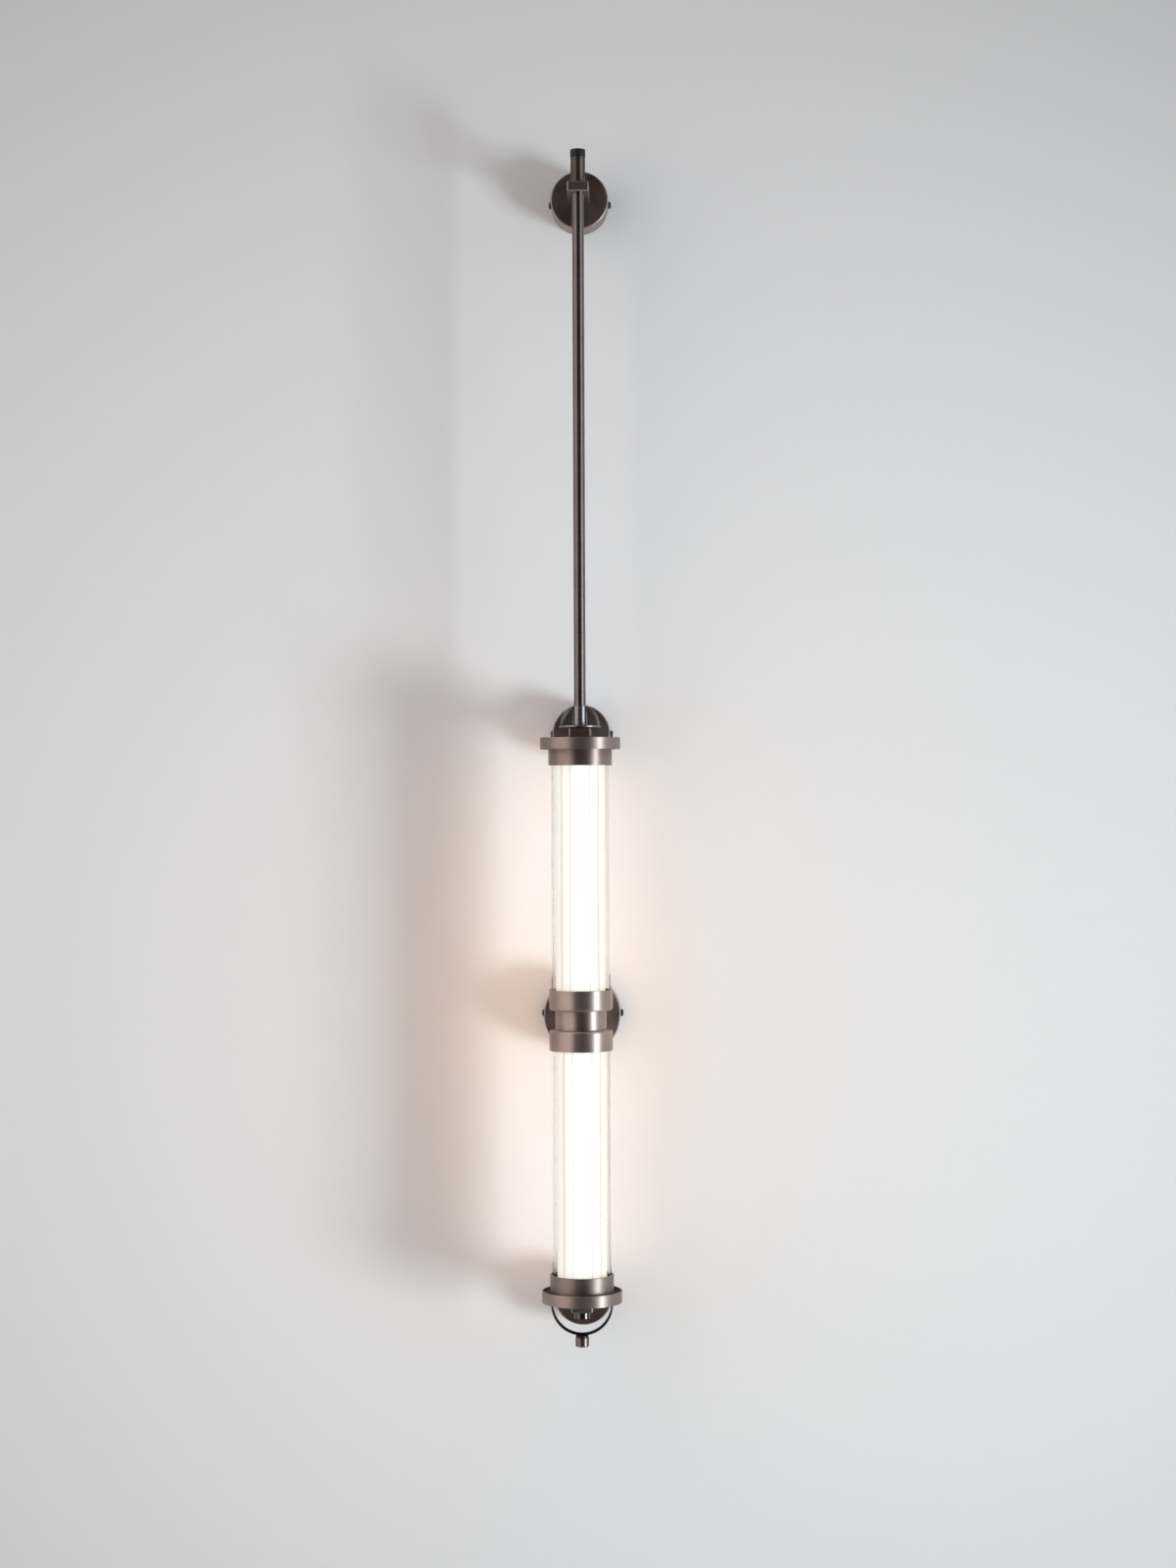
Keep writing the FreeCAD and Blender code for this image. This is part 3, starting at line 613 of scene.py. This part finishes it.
def make_arm(node, body, hole):
    """Flat bar with bevelled edges, around a hole on the lamp axis."""
    low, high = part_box(node)
    left, nose, bottom = low
    right, back, top = high
    sides = arm_sides(left, right, nose, back)
    centre = LAMP_AXIS
    cut = nose + nose_bevel
    corners = [(left, back), (right, back), (left, cut), (right, cut),
               (left + nose_bevel, nose), (right - nose_bevel, nose)]
    angles = {math.atan2(y - centre.y, x - centre.x) for x, y in corners}
    angles.update(2 * math.pi * step / turn_steps - math.pi for step in range(turn_steps))
    levels = ((bottom, 1), (bottom + bar_bevel, 0), (top - bar_bevel, 0), (top, 1))
    shape = bmesh.new()
    rings = []
    for angle in sorted(angles):
        out = Vector((math.cos(angle), math.sin(angle), 0))
        ring = [shape.verts.new(centre + out * hole + UP * bottom)]
        for height, bevelled in levels:
            reach = reach_of(sides, out, centre, bevelled)
            ring.append(shape.verts.new(centre + out * reach + UP * height))
        ring.append(shape.verts.new(centre + out * hole + UP * top))
        rings.append(ring)
    join_rings(shape, rings)
    piece = new_object("dressed_" + node, finished_mesh(shape, node), bar_bronze, smooth=False)
    dress(piece, node, body)


def make_arms():
    stem_hole = node_sizes("stem")[0] + play
    make_arm("top_arm", "top_fixing", stem_hole)
    make_arm("upper_arm", "lamp", rod_hole_radius)
    make_arm("lower_arm", "lamp", rod_hole_radius)


# Glass

def rib_surface(angle):
    """Distance from the axis: broad round ribs with narrow round valleys between them."""
    return glass_radius - rib_depth * math.cos(angle * rib_count / 2) ** rib_breadth


def make_glass(node, turn, material):
    """Reeded tube with a round bore, its edges melted a little round."""
    low, high = (corner[2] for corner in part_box(node))
    levels = ((low, glass_edge), (low + glass_edge, 0), (high - glass_edge, 0), (high, glass_edge))
    steps = rib_count * steps_per_rib
    shape = bmesh.new()
    rings = []
    for step in range(steps):
        angle = 2 * math.pi * step / steps
        out = Vector((math.sin(angle + turn), -math.cos(angle + turn), 0))
        section = [(rib_surface(angle) - inset, height) for height, inset in levels]
        section += [(glass_bore + inset, height) for height, inset in reversed(levels)]
        rings.append([shape.verts.new(LAMP_AXIS + UP * height + out * reach) for reach, height in section])
    join_rings(shape, rings)
    piece = new_object("dressed_" + node, finished_mesh(shape, node), material)
    dress(piece, node, "lamp")


# Arch and hoop

def rounded_rectangle(width, height, edge):
    x, y = width / 2, height / 2
    corners = [(-x, -y), (x, -y), (x, y), (-x, y)]
    return [(point[0], point[1]) for point in softened(corners, edge)]


def bevelled_rectangle(width, height, bevel):
    x, y = width / 2, height / 2
    return [(bevel - x, -y), (x - bevel, -y), (x, bevel - y), (x, y - bevel),
            (x - bevel, y), (bevel - x, y), (-x, y - bevel), (-x, bevel - y)]


def arc_path(centre, radius, start, end, steps):
    """Points on an arc in the XZ plane, with the directions outwards and to the back."""
    places = []
    sides = []
    for step in range(steps + 1):
        angle = start + (end - start) * step / steps
        out = Vector((math.cos(angle), 0, math.sin(angle)))
        places.append(centre + out * radius)
        sides.append((out, -ROOM))
    return places, sides


def make_arch():
    """Two curved ribs from the plate up to the coupler, each with a straight foot."""
    low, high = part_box("arch_ribs")
    plate_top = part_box("arch_plate")[1][2]
    centre = Vector((0, LAMP_AXIS.y, plate_top + rib_foot))
    section = bevelled_rectangle(arch_thickness, high[1] - low[1], rib_bevel)
    middle = (high[0] - low[0] - arch_thickness) / 2
    stop = math.acos((node_sizes("stem_coupler")[0] - soft_edge) / middle)
    for side, start, end in (("right", 0, stop), ("left", math.pi, math.pi - stop)):
        places, sides = arc_path(centre, middle, start, end, arch_steps)
        places.insert(0, places[0] - UP * rib_foot)
        sides.insert(0, sides[0])
        piece = swept("arch_rib_" + side, section, places, sides, gunmetal)
        dress(piece, "arch_ribs", "lamp")


def make_hoop():
    """Strip that thickens inwards towards its lowest point and ends round about its pins."""
    low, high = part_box("hoop")
    outer = (high[0] - low[0]) / 2
    depth = high[1] - low[1]
    pivot = Vector((0, LAMP_AXIS.y, low[2] + outer))
    section = rounded_rectangle(hoop_thickness, depth, fine_edge)
    middle = outer - hoop_thickness / 2
    end = (high[2] - pivot.z) / outer
    places, sides = arc_path(pivot, middle, math.pi - end, 2 * math.pi + end, hoop_steps)
    for index, (out, back) in enumerate(sides):
        lowness = max(0, -out.z - hoop_even_share) / (1 - hoop_even_share)
        growth = hoop_growth * math.sqrt(lowness)
        height_share = max(0, out.z) * outer / (depth / 2)
        depth_share = math.sqrt(max(hoop_tip_share, 1 - height_share ** 2))
        places[index] -= out * growth / 2
        sides[index] = (out * (1 + growth / hoop_thickness), back * depth_share)
    piece = swept("dressed_hoop", section, places, sides, hoop_metal)
    dress(piece, "hoop", "hoop")


# Materials of the CAD pieces that keep their own shape

def finish_cad_nodes():
    rose_names = ("top", "upper", "middle", "lower")
    finishes = {
        bar_bronze: ["middle_arm"],
        bronze: ["hoop_lugs"],
        black_paint: [name + "_rose_screws" for name in rose_names] + ["hoop_pins", "top_grub_screw"],
        zinc: [name + "_wall_bracket" for name in rose_names] + [
            "top_arm_bolts", "upper_arm_bolts", "lower_arm_bolts", "tie_rod", "middle_nipple",
            "middle_nipple_nuts"],
        aluminium: ["upper_led_core", "lower_led_core"],
        board: ["upper_led_strips", "lower_led_strips"],
        seal: ["upper_gaskets", "lower_gaskets"],
        wire: ["upper_lead", "lower_lead"],
        case: ["driver"],
        block: ["terminal_block"],
    }
    for material, names in finishes.items():
        for name in names:
            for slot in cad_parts[name].material_slots:
                slot.material = material


# Room
wall_gap = 0.2 * MM                        # between the lamp's back and the wall
wall_half_width = 6.0
floor_height = -1.5
floor_depth = 1.7
ceiling_height = 4.0
wall_colour = (0.89, 0.88, 0.87)
floor_colour = (0.78, 0.77, 0.76)
# painted shade on the wall: its paint darkens away from this centre
painted_shade_centre = (-0.257, 0, 0.12)
painted_shade_fade = (0.47, 0, 0.50)               # how fast the painted shade on the wall deepens away from the centre
no_fade = (0, 0, 0)
painted_shade_darkest = 0.6                        # share of the colour where the painted shade is darkest
painted_shade_fall = 0.4                           # squared faded distance at which it is

# Light
world_level = 1.5
left_light = (0.995, 0.906, 0.872)
right_light = (0.572, 0.628, 0.70)
dark_light = (0.017, 0.008, 0.007)
dark_side_azimuth = math.radians(6.5)
dark_side_core = math.radians(33)
dark_side_edge = math.radians(41)
dark_side_squeeze = 0.35                   # makes the dark side taller than wide
backdrop_level = 0.9                       # of the world as the camera and the glass see it
key_aim = 0.25
key_azimuth = math.radians(60.7)
key_drop = math.radians(15.5)
key_distance = 4.0
key_width = 0.95
key_height = 1.2
key_radiance = 30.0
key_colour = (0.888, 1.0, 1.041)

# Glow of the tubes
glow_radius = 30.5 * MM
glow_wall = 0.2 * MM
glow_colour = (1.0, 0.66, 0.47)
glow_end_colour = (1.0, 0.53, 0.16)
glow_end_gain = 4.6                        # how much stronger the glow is at the ends of the tubes
glow_end_start = 88.0 * MM
glow_end_stop = 120.0 * MM
glow_back = 0.60                           # strength towards the wall and the room
glow_side = 2.85                           # strength to the left and right
black = (0, 0, 0, 1)


# Room, light and camera

def backdrop(name, corners, material):
    data = bpy.data.meshes.new(name)
    data.from_pydata(corners, [], [tuple(range(len(corners)))])
    data.materials.append(material)
    piece = bpy.data.objects.new(name, data)
    bpy.context.scene.collection.objects.link(piece)


def plaster(name, colour, shade_fade):
    """Matt pale paint that shows only from the room side, darkened away from its centre by painted shade.
    """
    shader = Shader(name)
    noise = shader.noise(shader.place, plaster_detail, cells=plaster_grain)
    # painted shade: the paint darkens with the distance from the centre
    faded = shader.combine("MULTIPLY", shader.combine("SUBTRACT", shader.place, painted_shade_centre), shade_fade)
    fall = shader.combine("DOT_PRODUCT", faded, faded)
    tone = shader.remap(fall, stop=painted_shade_fall, low=1.0, high=painted_shade_darkest)
    paint = shader.add("ShaderNodeVectorMath", {0: colour, "Scale": tone}, operation="SCALE").outputs[0]
    shader.set(Base_Color=paint, Roughness=plaster_roughness, Specular_IOR_Level=plaster_gloss,
               Normal=shader.relief(noise, plaster_bump, plaster_depth))
    behind = shader.add("ShaderNodeNewGeometry").outputs["Backfacing"]
    clear = shader.add("ShaderNodeBsdfTransparent").outputs[0]
    mixed = shader.add("ShaderNodeMixShader", enumerate((behind, shader.surface.outputs[0], clear)))
    shader.feed(shader.tree.nodes["Material Output"].inputs["Surface"], mixed.outputs[0])
    return shader.material


def make_room():
    left, right = -wall_half_width, wall_half_width
    backdrop("wall", [(left, wall_gap, floor_height), (right, wall_gap, floor_height),
                      (right, wall_gap, ceiling_height), (left, wall_gap, ceiling_height)],
             plaster("wall_paint", wall_colour, painted_shade_fade))
    backdrop("floor", [(left, -floor_depth, floor_height), (right, -floor_depth, floor_height),
                       (right, wall_gap, floor_height), (left, wall_gap, floor_height)],
             plaster("floor_paint", floor_colour, no_fade))


def make_glow():
    """Warm light that leaves the tubes, as a hidden sleeve of light around each."""
    shader = Shader("warm_glow")
    sideways = shader.split(shader.place)["X"]
    squared = shader.compute("MULTIPLY", sideways, sideways)
    strength = shader.remap(squared, stop=glow_radius ** 2, low=glow_back, high=glow_side)
    end = nearness_to_end(shader, glow_end_start, glow_end_stop)
    full = shader.compute("MULTIPLY", strength, shader.remap(end, low=1.0, high=glow_end_gain))
    shader.set(Base_Color=black, Emission_Color=shader.blend(end, glow_colour, glow_end_colour),
               Emission_Strength=full)
    inside = glow_radius - glow_wall
    for half in ("upper", "lower"):
        band = node_sizes(half + "_band")
        collar = node_sizes(half + "_collar")
        low = min(band[2], collar[2])
        high = max(band[1], collar[1])
        outline = [(glow_radius, low), (glow_radius, high), (inside, high), (inside, low)]
        piece = turned(half + "_glow", outline, 0, shader.material, LAMP_AXIS)
        piece.visible_camera = False
        piece.visible_glossy = False
        piece.visible_transmission = False
        piece.visible_shadow = False


def make_world():
    """Soft studio light from all round, warm on the left and cool on the right, with a dark side
    behind the camera. The camera, and what shows through the glass, see it without the dark side."""
    world = bpy.data.worlds.new("studio")
    bpy.context.scene.world = world
    world.use_nodes = True
    sky = Nodes(world.node_tree)
    place = sky.add("ShaderNodeTexCoord").outputs["Generated"]
    flattened = sky.combine("MULTIPLY", place, (1.0, 1.0, dark_side_squeeze))
    to_dark = (math.sin(dark_side_azimuth), -math.cos(dark_side_azimuth), 0)
    facing = sky.combine("DOT_PRODUCT", sky.combine("NORMALIZE", flattened), to_dark)
    dark = sky.remap(facing, math.cos(dark_side_edge), math.cos(dark_side_core),
                     interpolation_type="SMOOTHSTEP")
    ambient = sky.blend(sky.remap(sky.split(place)["X"], start=-1.0), left_light, right_light)
    ray = sky.add("ShaderNodeLightPath").outputs
    seen = sky.compute("MAXIMUM", ray["Is Camera Ray"], ray["Is Transmission Ray"])
    shade = sky.compute("SUBTRACT", dark, seen, use_clamp=True)
    background = sky.tree.nodes["Background"]
    sky.feed(background.inputs["Color"], sky.blend(shade, ambient, dark_light))
    sky.feed(background.inputs["Strength"], sky.remap(seen, low=world_level, high=backdrop_level))


def make_key_light():
    """Soft light to the right of the lamp, below its middle."""
    across = math.cos(key_drop)
    toward = Vector((math.sin(key_azimuth) * across, -math.cos(key_azimuth) * across, -math.sin(key_drop)))
    data = bpy.data.lights.new("key", "AREA")
    data.shape = "RECTANGLE"
    data.size = key_width
    data.size_y = key_height
    data.energy = key_radiance * math.pi * key_width * key_height
    data.color = key_colour
    lamp = bpy.data.objects.new("key", data)
    lamp.location = LAMP_AXIS + UP * key_aim + toward * key_distance
    lamp.rotation_euler = (-toward).to_track_quat("-Z", "Y").to_euler()
    lamp.visible_camera = False
    bpy.context.scene.collection.objects.link(lamp)


def make_camera():
    data = bpy.data.cameras.new("camera")
    data.lens = camera_lens
    data.sensor_width = camera_sensor
    data.sensor_fit = "AUTO"
    camera = bpy.data.objects.new("camera", data)
    turn = Matrix.Rotation(camera_turn, 4, "Z")
    upright = Matrix.Rotation(camera_tilt, 4, "X")
    roll = Matrix.Rotation(camera_roll, 4, "Z")
    camera.matrix_world = Matrix.Translation(camera_place) @ turn @ upright @ roll
    bpy.context.scene.collection.objects.link(camera)
    bpy.context.scene.camera = camera


make_cups()
make_tubes()
make_small_turned()
make_roses()
make_arms()
make_glass("upper_glass", 0, upper_glass)
make_glass("lower_glass", lower_glass_turn, lower_glass)
make_arch()
make_hoop()
finish_cad_nodes()
make_room()
make_glow()
make_world()
make_key_light()
make_camera()
bpy.context.scene.view_settings.view_transform = "Standard"
